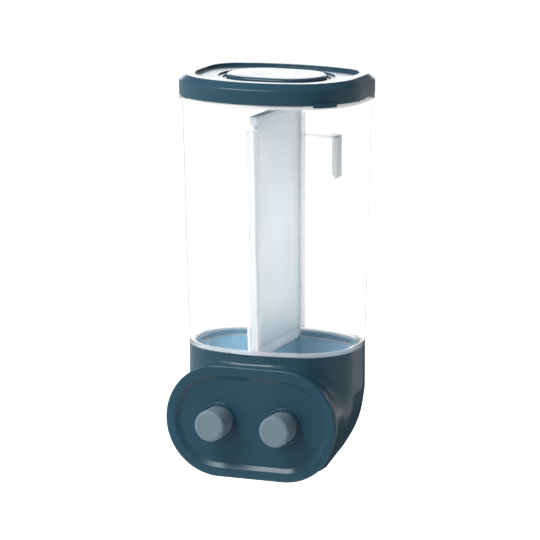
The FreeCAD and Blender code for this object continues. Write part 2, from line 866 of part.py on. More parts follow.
def biarc(start, leave, end, arrive):
    """Two arcs that join smoothly between two points with given tangents."""
    chord = end - start
    spread = 2 * (1 - leave.dot(arrive))
    along = chord.dot(leave + arrive)
    reach = (math.sqrt(along * along + spread * chord.dot(chord)) - along) / spread
    first_corner = start + leave * reach
    last_corner = end - arrive * reach
    joint = (first_corner + last_corner) * 0.5
    turn = (last_corner - first_corner).normalize()
    return [tangent_arc(start, leave, joint), tangent_arc(joint, turn, end)]


def spring_shape():
    """Coil of quarter turn biarcs along Y, between the button's face and the spring seat."""
    radius, wire = spring_radius.value, spring_wire.value
    front = -(button_front - button_wall - seat_gap - spring_wire).value
    pitch = (-(spring_seat + seat_gap + spring_wire).value - front) / spring_turns

    def point(turn):
        angle = 2 * math.pi * turn
        return FreeCAD.Vector(radius * math.cos(angle), front + pitch * turn,
                              button_level.value + radius * math.sin(angle))

    def tangent(turn):
        angle = 2 * math.pi * turn
        return FreeCAD.Vector(-radius * math.sin(angle), pitch / (2 * math.pi),
                              radius * math.cos(angle)).normalize()

    edges = []
    for quarter in range(4 * spring_turns):
        start, end = quarter / 4, (quarter + 1) / 4
        edges += biarc(point(start), tangent(start), point(end), tangent(end))
    section = Part.Wire(Part.makeCircle(wire, point(0), tangent(0)))
    print("return spring, gap between coils %.2f mm" % (pitch - 2 * wire))
    return Part.Wire(edges).makePipeShell([section], True, False)


def make_spring(name, middle, coil):
    piece = doc.addObject("Part::Feature", name)
    piece.Label = name
    piece.Shape = coil
    place(piece, middle)
    return piece


def make_insert():
    body = new_body("hopper_insert")
    outline_pad(body, insert_bottom, insert_top, ring, -collar_inset)
    outer_top = new_sketch(body, "XY_Plane", insert_top)
    draw_half_outline(outer_top, ring.grown(-funnel_inset), ZERO)
    outer_low = new_sketch(body, "XY_Plane", throat_level)
    draw_throat(outer_low, insert_wall)
    funnel = loft(body, "AdditiveLoft", [outer_top, outer_low])
    tube = new_sketch(body, "XY_Plane", throat_bottom)
    draw_throat(tube, insert_wall)
    throat = extrude(body, "Pad", tube, throat_height, True)
    mirror(body, funnel, throat)
    for middle in (-button_half_spacing, button_half_spacing):
        level_cylinder(body, "Additive", seat_boss_radius, middle, button_level, spring_seat,
                       throat_front + insert_wall / 2)
        level_cylinder(body, "Additive", seat_pin_radius, middle, button_level,
                       spring_seat + seat_pin_length, spring_seat)
    inner_top = new_sketch(body, "XY_Plane", insert_top)
    draw_half_outline(inner_top, ring.grown(-funnel_inset - insert_wall), centre_wall)
    inner_low = new_sketch(body, "XY_Plane", throat_level)
    draw_throat(inner_low, ZERO)
    hollow = loft(body, "SubtractiveLoft", [inner_top, inner_low])
    bore = new_sketch(body, "XY_Plane", throat_bottom)
    draw_throat(bore, ZERO)
    passage = extrude(body, "Pocket", bore, throat_height, True)
    mirror(body, hollow, passage)
    return body


def make_tray():
    body = new_body("gate_tray")
    box(body, "Additive", -tray_half_width, tray_half_width, tray_front, tray_back, tray_bottom, tray_top)
    guide_front = throat_front + insert_wall + insert_wall
    for middle in (-button_half_spacing, button_half_spacing):
        inside = gate_half_width + slide_gap
        outside = inside + guide_wall
        for left, right in ((middle - outside, middle - inside), (middle + inside, middle + outside)):
            box(body, "Additive", left, right, guide_front, tray_back, tray_bottom, tray_top + guide_height)
        reach = throat_half_width + chute_wall
        box(body, "Additive", middle - reach, middle + reach, throat_front + chute_wall,
            throat_back - chute_wall, chute_end, tray_top)
        box(body, "Subtractive", middle - throat_half_width, middle + throat_half_width, throat_front,
            throat_back, chute_end, tray_top)
    for forward in (leg_front, leg_rear):
        upright_cylinder(body, "Additive", leg_radius, ZERO, forward, boss_top, tray_top)
        upright_cylinder(body, "Subtractive", screw_radius + pin_gap, ZERO, forward, boss_top,
                         screw_sink + screw_head + screw_length + edge_gap)
    return body


def make_screw(name, forward):
    body = new_body(name)
    shoulder = screw_sink + screw_head
    upright_cylinder(body, "Additive", screw_head_radius, ZERO, forward, screw_sink, shoulder)
    upright_cylinder(body, "Additive", screw_radius, ZERO, forward, shoulder, shoulder + screw_length)
    for across, along in ((screw_slot_length, screw_slot_width), (screw_slot_width, screw_slot_length)):
        box(body, "Subtractive", -across / 2, across / 2, forward + along / 2, forward - along / 2,
            ZERO, screw_sink + screw_slot_depth)
    return body


def make_seal():
    body = new_body("seal_ring")
    outline_pad(body, seal_bottom, seal_bottom + seal_height, ring, -collar_inset, -seat_width)
    return body


def make_bracket():
    body = new_body("wall_bracket")
    bottom = hanger_level - hanger_height
    box(body, "Additive", -bracket_half_width, bracket_half_width, -bracket_front, -bracket_flange_back,
        bottom, bracket_top)
    neck = bracket_half_width - hanger_lip - edge_gap
    box(body, "Additive", -neck, neck, -bracket_front, -bracket_back, bottom, bracket_top)
    box(body, "Additive", -hanger_half_width, hanger_half_width, -bracket_wall_front, -bracket_back,
        bottom - bracket_reach, hanger_level)
    return body


def make_pad():
    body = new_body("adhesive_pad")
    half_width = hanger_half_width - pad_inset
    half_height = hanger_height / 2 - pad_inset
    box(body, "Additive", -half_width, half_width, -bracket_back, -wall_line, mount_level - half_height,
        mount_level + half_height)
    return body


pieces = [make_tank(), make_divider(), make_lid(), make_grip(), make_lid_gasket(), make_housing(),
          make_panel(), make_insert(), make_tray(), make_seal(), make_bracket(), make_pad(),
          make_screw("tray_screw_front", leg_front), make_screw("tray_screw_rear", leg_rear)]
coil = spring_shape()
for side, middle in (("left", -button_half_spacing), ("right", button_half_spacing)):
    pieces.append(make_button("button_" + side, middle))
    pieces.append(make_gate("gate_" + side, middle))
    pieces.append(make_gate_pin("gate_pin_" + side, middle))
    pieces.append(make_spring("return_spring_" + side, middle, coil))
doc.recompute()

for item in doc.Objects:
    if "Invalid" in item.State or "Error" in item.State:
        raise RuntimeError("%s is not sound: %s" % (item.Label, item.State))
for piece in pieces:
    if piece.Shape.isNull() or not piece.Shape.isValid() or len(piece.Shape.Solids) != 1:
        raise RuntimeError("%s is not one sound solid" % piece.Label)

os.makedirs("parts", exist_ok=True)
for piece in pieces:
    piece.Shape.exportStep("parts/%s.step" % piece.Label)
    box_size = piece.Shape.BoundBox
    print("%-20s %8.1f mm3  X %.1f %.1f  Y %.1f %.1f  Z %.1f %.1f" % (
        piece.Label, piece.Shape.Volume, box_size.XMin, box_size.XMax, box_size.YMin, box_size.YMax,
        box_size.ZMin, box_size.ZMax))
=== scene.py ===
"""Studio scene of the wall hung grain container.

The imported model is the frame. The shells that show are rebuilt here as finer meshes with rounded
edges. Sizes are in millimetres in the drawing frame of the part: X to the right, Y back from the
tank's widest line, Z up from under the housing.
"""
import json
import math

import bmesh
import bpy
import numpy as np
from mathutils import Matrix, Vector


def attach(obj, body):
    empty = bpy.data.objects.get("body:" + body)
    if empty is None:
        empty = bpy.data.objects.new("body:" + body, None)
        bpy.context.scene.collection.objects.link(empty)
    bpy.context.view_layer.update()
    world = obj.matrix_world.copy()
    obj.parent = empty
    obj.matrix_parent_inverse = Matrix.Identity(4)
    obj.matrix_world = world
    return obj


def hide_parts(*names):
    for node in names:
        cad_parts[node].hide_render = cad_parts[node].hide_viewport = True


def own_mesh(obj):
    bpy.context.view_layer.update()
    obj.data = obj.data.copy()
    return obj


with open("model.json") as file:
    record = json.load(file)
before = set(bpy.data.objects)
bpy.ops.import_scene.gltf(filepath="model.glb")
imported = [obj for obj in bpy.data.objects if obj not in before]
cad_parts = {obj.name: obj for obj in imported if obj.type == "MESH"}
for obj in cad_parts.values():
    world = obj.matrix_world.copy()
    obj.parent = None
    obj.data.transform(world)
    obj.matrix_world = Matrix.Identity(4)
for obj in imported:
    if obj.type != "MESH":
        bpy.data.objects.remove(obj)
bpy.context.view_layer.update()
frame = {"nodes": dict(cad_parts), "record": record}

# Place of the drawing frame in the row frame
WALL_LINE = 53.4
MOUNT_LEVEL = 225.0

# Tank and lid
BASE_HEIGHT = 92.0
TANK_TOP = 285.0
TANK_WALL = 2.2
SEAT_WIDTH = 5.0
SEAT_TOP = 94.5
SPIGOT_BOTTOM = 88.1
SPIGOT_INSET = 2.7
FOOT_CLEAR = 0.62
RIM_CLEAR = 0.4
RIM_LOW = 275.4
RIM_HIGH = 277.4
RIM_PROUD = 2.2
SKIRT_BOTTOM = 278.1
SKIRT_PROUD = 2.0
SKIRT_INSIDE = 0.4
SLOPE_BOTTOM = 288.9
LID_TOP = 293.5
LID_RIM_OUTER = -3.0
LID_RIM_INNER = -9.8
LID_FLOOR = 291.0
LID_UNDERSIDE = 286.7
LID_CEILING = 285.5
PLUG_BOTTOM = 280.0
PLUG_OUTER = -4.2
PLUG_INNER = -6.2
GRIP_HALF = 10.5
GRIP_RADIUS = 27.0
GRIP_MIDDLE = -10.0
GRIP_TOP = 292.8
WELL_RADIUS = 33.0
WELL_FLOOR = 289.8
WELL_STEP = 29.8
WELL_BOTTOM = 288.6
TAB_RADIUS = 28.0
TAB_MIDDLE = (36.19, -35.25)
TAB_BOTTOM = 276.7
TAB_TOP = 280.1
TAB_INSIDE = 2.5

# Divider, its rails and the hanger
PLATE_HALF = 1.3
BEAD_HALF = 3.2
BEAD_BOTTOM = 260.5
DIVIDER_TOP = 267.5
DIVIDER_BOTTOM = 95.1
DIVIDER_FRONT = -55.9
DIVIDER_BACK = 38.5
TONGUE_STEP = 2.8
TONGUE_BOTTOM = 87.4
RAIL_INNER = 1.5
RAIL_OUTER = 4.1
RAIL_DEPTH = 4.5
RAIL_TOP = 258.0
RAIL_END = 39.0
HANGER_HALF = 29.7
HANGER_INSIDE = 27.5
HANGER_WALL = 2.2
HANGER_LOW = 209.0
HANGER_HIGH = 241.0
HANGER_BACK = 49.5
HANGER_LIP = 22.0

# Housing, panel and buttons
HOUSING_WALL = 2.4
LINER_OUTER = -2.45
LINER_INNER = -2.65
LINER_BOTTOM = 86.9
LINER_TOP = 91.8
BOWL_MIDDLE = -20.0
BOWL_LEVELS = (0.0, 10.0, 24.0, 42.5, 60.0)
BOWL_SCALES = (0.6, 0.71, 0.85, 0.96, 1.0)
DRUM_HALF = 25.0
DRUM_RADIUS = 41.7
DRUM_TAPER = 0.17
DRUM_BACK = -5.0
SHOULDER_BLEND = 5.5
DRUM_TUCK = 0.25
DRUM_FRONT = -62.0
PANEL_BACK = -58.8
PANEL_FRONT = -63.0
PANEL_FLOOR = -60.4
PANEL_BORDER = 7.0
PANEL_SLOPE = 3.2
LIP_FRONT = -63.6
LIP_WALL = 1.2
NOTCH_LEFT = -18.5
NOTCH_RIGHT = -0.5
NOTCH_BOTTOM = 90.9
NOTCH_DEPTH = 1.2
BUTTON_X = 25.25
BUTTON_LEVEL = DRUM_RADIUS
BUTTON_RADIUS = 11.6
BUTTON_HOLE = 12.1
BUTTON_FRONT = -80.6
BUTTON_BACK = -56.5
BUTTON_WALL = 2.2
FLANGE_RADIUS = 13.6
FLANGE_FRONT = -58.5
CHUTE_HALF = 11.5
CHUTE_FRONT = -36.0
CHUTE_BACK = -19.0
CHUTE_CUT = 12.0
SCREW_PLACES = (-36.0, -6.0)
SCREW_RECESS = 3.3
SPRING_RADIUS = 6.5
SPRING_WIRE = 0.6
SPRING_FRONT = -77.7
SPRING_SEAT = -40.8
SPRING_TURNS = 8
SPRING_STEPS = 24
WIRE_SIDES = 10

# Camera and stage
TARGET = (-9.16, 0.0, 144.02)
CAMERA_DISTANCE = 2852.7
CAMERA_AZIMUTH = math.radians(21.55)
CAMERA_ELEVATION = math.radians(11.22)
CAMERA_LENS = 257.3
FLOOR_DROP = 250.0
FILL_LEFT = 1.05
FILL_RIGHT = 0.2
ROOM_RIGHT = 0.6
FLOOR_LIFT = 0.88
FLAG_LIFT = 20.0

# Meshing
LEVEL_SPACING = 30.0
SHARP_ANGLE = math.radians(38.0)
FLAT_ANGLE = math.radians(1)
EDGE_ANGLE = math.radians(30)
HOUSING_LOW = (-72, -66, -6)
HOUSING_HIGH = (72, 46, 100)
HOUSING_STEP = 2.0


def metres(points):
    """Drawing frame millimetres to row frame metres."""
    return (np.asarray(points, float) - (0.0, WALL_LINE, MOUNT_LEVEL)) / 1000.0


# Plan outlines: right half from the middle of the front to the middle of the back, then mirrored

def outline(half_width, front, back, front_radius, front_corner, back_corner, back_radius):
    """Points and outward normals of a plan outline of tangent arcs, counterclockwise from the front."""
    front_y = front_radius - front
    back_y = back - back_radius
    corner_x = half_width - front_corner
    corner_y = front_y - math.sqrt((front_radius - front_corner) ** 2 - corner_x ** 2)
    rear_x = half_width - back_corner
    rear_y = back_y + math.sqrt((back_radius - back_corner) ** 2 - rear_x ** 2)
    front_angle = math.atan2(corner_y - front_y, corner_x)
    back_angle = math.atan2(rear_y - back_y, rear_x)
    arcs = [((0, front_y), front_radius, -math.pi / 2, front_angle, 18),
            ((corner_x, corner_y), front_corner, front_angle, 0.0, 20)]
    rear_arcs = [((rear_x, rear_y), back_corner, 0.0, back_angle, 18),
                 ((0, back_y), back_radius, back_angle, math.pi / 2, 18)]
    points, normals = [], []

    def add_arc(centre, radius, start, end, count):
        for angle in np.linspace(start, end, count, endpoint=False):
            normal = (math.cos(angle), math.sin(angle))
            normals.append(normal)
            points.append((centre[0] + radius * normal[0], centre[1] + radius * normal[1]))

    for item in arcs:
        add_arc(*item)
    for y in np.linspace(corner_y, rear_y, 6, endpoint=False):
        points.append((half_width, y))
        normals.append((1.0, 0.0))
    for item in rear_arcs:
        add_arc(*item)
    points.append((0.0, back))
    normals.append((0.0, 1.0))
    points, normals = np.array(points), np.array(normals)
    mirror = np.array((-1.0, 1.0))
    return (np.vstack((points, points[-2:0:-1] * mirror)),
            np.vstack((normals, normals[-2:0:-1] * mirror)))


RING = outline(64, 58.7, 41.3, 130, 40, 34, 95)
MOUTH = outline(67.5, 70, 41.5, 105, 48, 32, 140)


def at_level(flat, z):
    """Plan points lifted to a level."""
    return np.column_stack((flat, np.full(len(flat), z)))


def level_row(plan, offset, z):
    """Outline moved outward by an offset, at a level."""
    points, normals = plan
    return at_level(points + offset * normals, z)


def tank_row(offset, z):
    """Section of the tank's leaning wall at a level."""
    share = min(max((z - BASE_HEIGHT) / (TANK_TOP - BASE_HEIGHT), 0.0), 1.0)
    points = RING[0] * (1 - share) + MOUTH[0] * share
    normals = RING[1] * (1 - share) + MOUTH[1] * share
    normals /= np.linalg.norm(normals, axis=1)[:, None]
    return level_row((points, normals), offset, z)


def grip_row(radius, z):
    """Stadium round the grip's middle, with its points in the directions of the lid's outline."""
    toward = MOUTH[0] - (0.0, GRIP_MIDDLE)
    toward /= np.linalg.norm(toward, axis=1)[:, None]
    across, along = np.abs(toward[:, 0]), np.abs(toward[:, 1])
    straight = radius / np.maximum(along, 1e-9)
    bend = GRIP_HALF * across + np.sqrt(np.maximum(radius ** 2 - (GRIP_HALF * along) ** 2, 0))
    reach = np.where(straight * across <= GRIP_HALF, straight, bend)
    return at_level(toward * reach[:, None] + (0.0, GRIP_MIDDLE), z)


def soften(path, steps=6):
    """Round the corners of a line of (u, v, radius) points with arcs."""
    rounded = []
    for index, (u, v, radius) in enumerate(path):
        corner = np.array((u, v), float)
        if radius == 0 or index in (0, len(path) - 1):
            rounded.append(tuple(corner))
            continue
        before = np.array(path[index - 1][:2], float) - corner
        after = np.array(path[index + 1][:2], float) - corner
        before /= np.linalg.norm(before)
        after /= np.linalg.norm(after)
        half = math.acos(np.clip(before @ after, -1, 1)) / 2
        middle = (before + after) / np.linalg.norm(before + after)
        centre = corner + middle * (radius / math.sin(half))
        start = corner + before * (radius / math.tan(half)) - centre
        end = corner + after * (radius / math.tan(half)) - centre
        sweep = math.atan2(start[0] * end[1] - start[1] * end[0], start @ end)
        for share in np.linspace(0, 1, steps + 1):
            cosine, sine = math.cos(sweep * share), math.sin(sweep * share)
            turned = (start[0] * cosine - start[1] * sine, start[0] * sine + start[1] * cosine)
            rounded.append((centre[0] + turned[0], centre[1] + turned[1]))
    return rounded


# Mesh helpers: a form is a list of points and a list of faces

def skin(rows, loop=False, start_cap=False, end_cap=False):
    """Quads between rows of equally many points, with optional flat ends."""
    count = len(rows[0])
    points = [tuple(point) for row in rows for point in row]
    faces = []
    pairs = [(row, row + 1) for row in range(len(rows) - 1)]
    if loop:
        pairs.append((len(rows) - 1, 0))
    for low, high in pairs:
        for item in range(count):
            after = (item + 1) % count
            faces.append((low * count + item, low * count + after,
                          high * count + after, high * count + item))
    for wanted, row in ((start_cap, 0), (end_cap, len(rows) - 1)):
        if wanted:
            points.append(tuple(np.mean(rows[row], axis=0)))
            middle = len(points) - 1
            faces += [(row * count + item, row * count + (item + 1) % count, middle)
                      for item in range(count)]
    return points, faces


def lathe(profile, x, level, count=72):
    """Rows of points round a line along Y, from (radius, y) pairs."""
    angles = np.linspace(0, 2 * math.pi, count, endpoint=False)
    return [np.column_stack((x + radius * np.cos(angles), np.full(count, y),
                             level + radius * np.sin(angles))) for radius, y in profile]


def rounded_box(low, high, radius, segments=3):
    """Box between two corners, with rounded edges."""
    low, high = np.array(low, float), np.array(high, float)
    shape = bmesh.new()
    bmesh.ops.create_cube(shape, size=1.0)
    for vert in shape.verts:
        vert.co = Vector((low + high) / 2 + np.array(vert.co) * (high - low))
    bmesh.ops.bevel(shape, geom=shape.edges[:], offset=radius, segments=segments, profile=0.5,
                    affect="EDGES", clamp_overlap=True)
    return take_form(shape)


def add_form(shape, points, faces):
    """Put a form into a working mesh."""
    verts = [shape.verts.new(point) for point in points]
    for face in faces:
        shape.faces.new([verts[index] for index in face])


def take_form(shape):
    """Form of a working mesh, which is then freed."""
    shape.verts.index_update()
    points = [tuple(vert.co) for vert in shape.verts]
    faces = [tuple(vert.index for vert in face.verts) for face in shape.faces]
    shape.free()
    return points, faces


def fill(loops):
    """Flat triangles between an outer loop and the loops of its holes."""
    shape = bmesh.new()
    for loop in loops:
        verts = [shape.verts.new(point) for point in loop]
        for index, vert in enumerate(verts):
            shape.edges.new((vert, verts[(index + 1) % len(verts)]))
    bmesh.ops.triangle_fill(shape, edges=shape.edges[:], use_beauty=True)
    return take_form(shape)


def add_piece(name, forms, body, slot, nodes=(), material=None):
    """Join forms into one smooth shaded object that rides on a body and stands for CAD nodes."""
    shape = bmesh.new()
    for points, faces in forms:
        add_form(shape, metres(points), faces)
    bmesh.ops.remove_doubles(shape, verts=shape.verts[:], dist=2e-6)
    bmesh.ops.recalc_face_normals(shape, faces=shape.faces[:])
    shade(shape)
    mesh = bpy.data.meshes.new(name)
    shape.to_mesh(mesh)
    shape.free()
    mesh.materials.append(material or MATERIALS[slot])
    piece = bpy.data.objects.new(name, mesh)
    bpy.context.scene.collection.objects.link(piece)
    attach(piece, body)
    if nodes:
        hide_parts(*nodes)
    return piece


def shade(shape):
    """Smooth faces, with sharp edges kept crisp."""
    for face in shape.faces:
        face.smooth = True
    for edge in shape.edges:
        edge.smooth = edge.is_manifold and edge.calc_face_angle(0.0) < SHARP_ANGLE


# Materials

def new_material(name):
    """New material, with its node tree and its main shader."""
    material = bpy.data.materials.new(name)
    material.use_nodes = True
    tree = material.node_tree
    return material, tree, tree.nodes["Principled BSDF"]


def split_place(tree, kind):
    """Coordinates of the shaded point, by name."""
    place = tree.nodes.new("ShaderNodeTexCoord")
    split = tree.nodes.new("ShaderNodeSeparateXYZ")
    tree.links.new(place.outputs[kind], split.inputs["Vector"])
    return split.outputs


def noise(tree, scale, detail=3.0):
    """Noise that keeps its place on the object."""
    place = tree.nodes.new("ShaderNodeTexCoord")
    texture = tree.nodes.new("ShaderNodeTexNoise")
    texture.inputs["Scale"].default_value = scale
    texture.inputs["Detail"].default_value = detail
    tree.links.new(place.outputs["Object"], texture.inputs["Vector"])
    return texture.outputs["Fac"]


def ranged(tree, value, start, end, low, high):
    """Map a value between start and end to a range."""
    node = tree.nodes.new("ShaderNodeMapRange")
    node.inputs["From Min"].default_value = start
    node.inputs["From Max"].default_value = end
    node.inputs["To Min"].default_value = low
    node.inputs["To Max"].default_value = high
    tree.links.new(value, node.inputs["Value"])
    return node.outputs["Result"]


def spread(tree, value, low, high):
    """Map a noise value, mostly between 0.3 and 0.7, to a range."""
    return ranged(tree, value, 0.3, 0.7, low, high)


def combine(tree, operation, first, second):
    """Result of a math operation on two values."""
    node = tree.nodes.new("ShaderNodeMath")
    node.operation = operation
    tree.links.new(first, node.inputs[0])
    tree.links.new(second, node.inputs[1])
    return node.outputs[0]


def ray_share(tree, *kinds):
    """1 for the given kinds of ray, else 0."""
    path = tree.nodes.new("ShaderNodeLightPath")
    total = path.outputs[kinds[0]]
    for kind in kinds[1:]:
        total = combine(tree, "MAXIMUM", total, path.outputs[kind])
    return total


def tint(tree, value, dark, light):
    """Colour between two colours."""
    node = tree.nodes.new("ShaderNodeMix")
    node.data_type = "RGBA"
    node.inputs["A"].default_value = (*dark, 1)
    node.inputs["B"].default_value = (*light, 1)
    tree.links.new(value, node.inputs["Factor"])
    return node.outputs["Result"]


def add_bump(tree, shader, value, depth):
    """Surface relief of a depth in metres."""
    node = tree.nodes.new("ShaderNodeBump")
    node.inputs["Strength"].default_value = 1.0
    node.inputs["Distance"].default_value = depth
    tree.links.new(value, node.inputs["Height"])
    tree.links.new(node.outputs["Normal"], shader.inputs["Normal"])


def moulded(name, colour, roughness, grain, depth, variation, settings):
    """Moulded finish: faint flow marks in colour and gloss, and a fine surface grain."""
    material, tree, shader = new_material(name)
    dark = [channel * (1 - variation) for channel in colour]
    light = [channel * (1 + variation) for channel in colour]
    flow = spread(tree, noise(tree, 22.0), 0.0, 1.0)
    tree.links.new(tint(tree, flow, dark, light), shader.inputs["Base Color"])
    gloss = spread(tree, noise(tree, 55.0), roughness * 0.85, roughness * 1.15)
    tree.links.new(gloss, shader.inputs["Roughness"])
    add_bump(tree, shader, noise(tree, grain, 2.0), depth)
    for socket, value in settings.items():
        shader.inputs[socket].default_value = value
    return material


def clear_ribs():
    """Thick clear plastic of the rails and the hanger."""
    material, tree, shader = new_material("clear_ribs")
    shader.inputs["Base Color"].default_value = (0.93, 0.94, 0.95, 1)
    shader.inputs["Transmission Weight"].default_value = 0.55
    shader.inputs["IOR"].default_value = 1.05
    tree.links.new(spread(tree, noise(tree, 40.0), 0.02, 0.05), shader.inputs["Roughness"])
    let_lamps_through(tree, shader)
    return material


def clear_plastic():
    """Clear moulded plastic with a faint ripple, painted grey where the wall is seen edge on, less
    clear at the seat and the rim.
    """
    material, tree, shader = new_material("clear_plastic")
    # Painted shade: the colour turns grey where the wall is seen edge on, to paint dark lines along the
    # tank's outline
    slant = tree.nodes.new("ShaderNodeLayerWeight")
    slant.inputs["Blend"].default_value = 0.5
    edge = ranged(tree, slant.outputs["Facing"], 0.55, 1.0, 0.0, 1.0)
    colour = tint(tree, edge, (0.985, 0.992, 0.995), (0.58, 0.60, 0.62))
    tree.links.new(colour, shader.inputs["Base Color"])
    height = split_place(tree, "Object")["Z"]
    base, foot, rim = (metres((0, 0, z))[2] for z in (BASE_HEIGHT, SEAT_TOP, RIM_LOW))
    wall = ranged(tree, height, foot, foot + 0.001, FOOT_CLEAR, 1.0)
    spigot = ranged(tree, height, base - 0.001, base, 1.0, FOOT_CLEAR)
    body = combine(tree, "MAXIMUM", wall, spigot)
    top = ranged(tree, height, rim - 0.001, rim, 1.0, RIM_CLEAR)
    clear = combine(tree, "MINIMUM", body, top)
    tree.links.new(clear, shader.inputs["Transmission Weight"])
    shader.inputs["IOR"].default_value = 1.1
    gloss = spread(tree, noise(tree, 40.0), 0.02, 0.05)
    tree.links.new(gloss, shader.inputs["Roughness"])
    add_bump(tree, shader, noise(tree, 30.0, 2.0), 0.00002)
    let_lamps_through(tree, shader)
    return material


def let_lamps_through(tree, shader):
    """Straight light paths for lamps, so that what is inside the plastic is lit."""
    clear = tree.nodes.new("ShaderNodeBsdfTransparent")
    mix = tree.nodes.new("ShaderNodeMixShader")
    tree.links.new(ray_share(tree, "Is Shadow Ray"), mix.inputs["Fac"])
    tree.links.new(shader.outputs["BSDF"], mix.inputs[1])
    tree.links.new(clear.outputs["BSDF"], mix.inputs[2])
    tree.links.new(mix.outputs["Shader"], tree.nodes["Material Output"].inputs["Surface"])


def frosted_plastic():
    """Frosted divider: cloudy blue grey with a fine etched grain."""
    material, tree, shader = new_material("frosted_plastic")
    cloud = spread(tree, noise(tree, 35.0), 0.0, 1.0)
    colour = tint(tree, cloud, (0.62, 0.68, 0.72), (0.67, 0.72, 0.75))
    tree.links.new(colour, shader.inputs["Base Color"])
    shader.inputs["Transmission Weight"].default_value = 0.08
    shader.inputs["IOR"].default_value = 1.2
    shader.inputs["Subsurface Weight"].default_value = 0.6
    shader.inputs["Subsurface Radius"].default_value = (1.0, 1.0, 1.0)
    shader.inputs["Subsurface Scale"].default_value = 0.008
    gloss = spread(tree, noise(tree, 300.0), 0.38, 0.5)
    tree.links.new(gloss, shader.inputs["Roughness"])
    add_bump(tree, shader, noise(tree, 2400.0, 2.0), 0.00002)
    return material


# Colour, roughness, scale and depth of the grain, variation of the colour, and other settings
FINISHES = {
    "teal_plastic": ((0.031, 0.098, 0.148), 0.24, 700.0, 0.000012, 0.06, {"IOR": 1.5}),
    "grey_plastic": ((0.21, 0.30, 0.36), 0.42, 1600.0, 0.00002, 0.06, {}),
    "pale_blue_plastic": ((0.21, 0.38, 0.51), 0.3, 900.0, 0.00001, 0.06, {}),
    "white_plastic": ((0.74, 0.75, 0.75), 0.4, 1200.0, 0.00002, 0.03, {}),
    "silicone": ((0.7, 0.73, 0.74), 0.5, 1800.0, 0.00002, 0.03, {"Transmission Weight": 0.3}),
    "steel": ((0.62, 0.62, 0.63), 0.28, 2200.0, 0.000006, 0.04, {"Metallic": 1.0}),
    "clear_adhesive": ((0.9, 0.93, 0.94), 0.3, 900.0, 0.00004, 0.02, {"Alpha": 0.05}),
    "clear_sheet": ((0.88, 0.91, 0.92), 0.12, 900.0, 0.00001, 0.02, {"Alpha": 0.04}),
}
MATERIALS = {name: moulded(name, *finish) for name, finish in FINISHES.items()}
MATERIALS["clear_plastic"] = clear_plastic()
MATERIALS["clear_ribs"] = clear_ribs()
MATERIALS["frosted_plastic"] = frosted_plastic()


def dress_cad_nodes():
    """Give every CAD node the material of its slot."""
    for part in frame["record"]["subparts"]:
        node = frame["nodes"][part["node"]]
        node.data.materials.clear()
        node.data.materials.append(MATERIALS[part["material_slot"]])


# Pieces

def make_tank():
    """Clear tank: leaning wall, rim, and foot with its spigot."""
    wall = soften([
        (-SPIGOT_INSET, SPIGOT_BOTTOM, 0), (-SPIGOT_INSET, BASE_HEIGHT, 0.3), (0, BASE_HEIGHT, 0.5),
        (0, RIM_LOW, 0.5), (RIM_PROUD, RIM_LOW, 0.5), (RIM_PROUD, RIM_HIGH, 0.5), (0, RIM_HIGH, 0.5),
        (0, TANK_TOP, 0.8), (-TANK_WALL, TANK_TOP, 0.8), (-TANK_WALL, SEAT_TOP, 0.8),
        (-SEAT_WIDTH, SEAT_TOP, 0.6), (-SEAT_WIDTH, SPIGOT_BOTTOM, 0)], 4)
    levels = []
    for (offset, z), (_, following) in zip(wall, wall[1:] + wall[:1]):
        levels.append((offset, z))
        count = int(abs(following - z) // LEVEL_SPACING) + 1
        for share in np.linspace(0, 1, count, endpoint=False)[1:]:
            levels.append((offset, z + (following - z) * share))
    rows = [tank_row(offset, z) for offset, z in levels]
    add_piece("tank_clear", [skin(rows, loop=True)], "container", "clear_plastic", ("clear_tank",))


def make_ribs():
    """Divider rails inside the tank and the hanger channel behind it."""
    forms = [hanger_shelf()]
    wall_y = back_wall(HANGER_HALF, HANGER_HIGH)
    for side in (-1, 1):
        forms.append(front_rail(side))
        forms.append(side_box(side, (RAIL_INNER, RAIL_OUTER), (DIVIDER_BACK - RAIL_DEPTH, RAIL_END),
                              (SEAT_TOP, RAIL_TOP)))
        forms.append(side_box(side, (HANGER_INSIDE, HANGER_HALF), (wall_y, HANGER_BACK),
                              (HANGER_LOW, HANGER_HIGH)))
        forms.append(side_box(side, (HANGER_LIP, HANGER_INSIDE),
                              (HANGER_BACK - HANGER_WALL, HANGER_BACK), (HANGER_LOW, HANGER_HIGH)))
    add_piece("tank_ribs", forms, "container", "clear_plastic", material=MATERIALS["clear_ribs"])


def side_box(side, across, along, up):
    """Box with rounded edges on one side of the middle, from its ranges in X, Y and Z."""
    left, right = sorted(side * x for x in across)
    return rounded_box((left, along[0], up[0]), (right, along[1], up[1]), 0.5)


def back_wall(x, z):
    """Middle of the tank's back wall."""
    row = tank_row(-TANK_WALL / 2, z)
    back = row[row[:, 1] > 0]
    back = back[np.argsort(back[:, 0])]
    return np.interp(x, back[:, 0], back[:, 1])


def hanger_shelf():
    """Top of the hanger channel, from the curved back wall to the channel's back."""
    across = np.linspace(-HANGER_INSIDE, HANGER_INSIDE, 15)
    front = np.column_stack((across, back_wall(across, HANGER_HIGH)))
    loop = np.vstack((front, [(HANGER_INSIDE, HANGER_BACK), (-HANGER_INSIDE, HANGER_BACK)]))
    rows = [at_level(loop, z) for z in (HANGER_HIGH - HANGER_WALL, HANGER_HIGH)]
    return skin(rows, start_cap=True, end_cap=True)


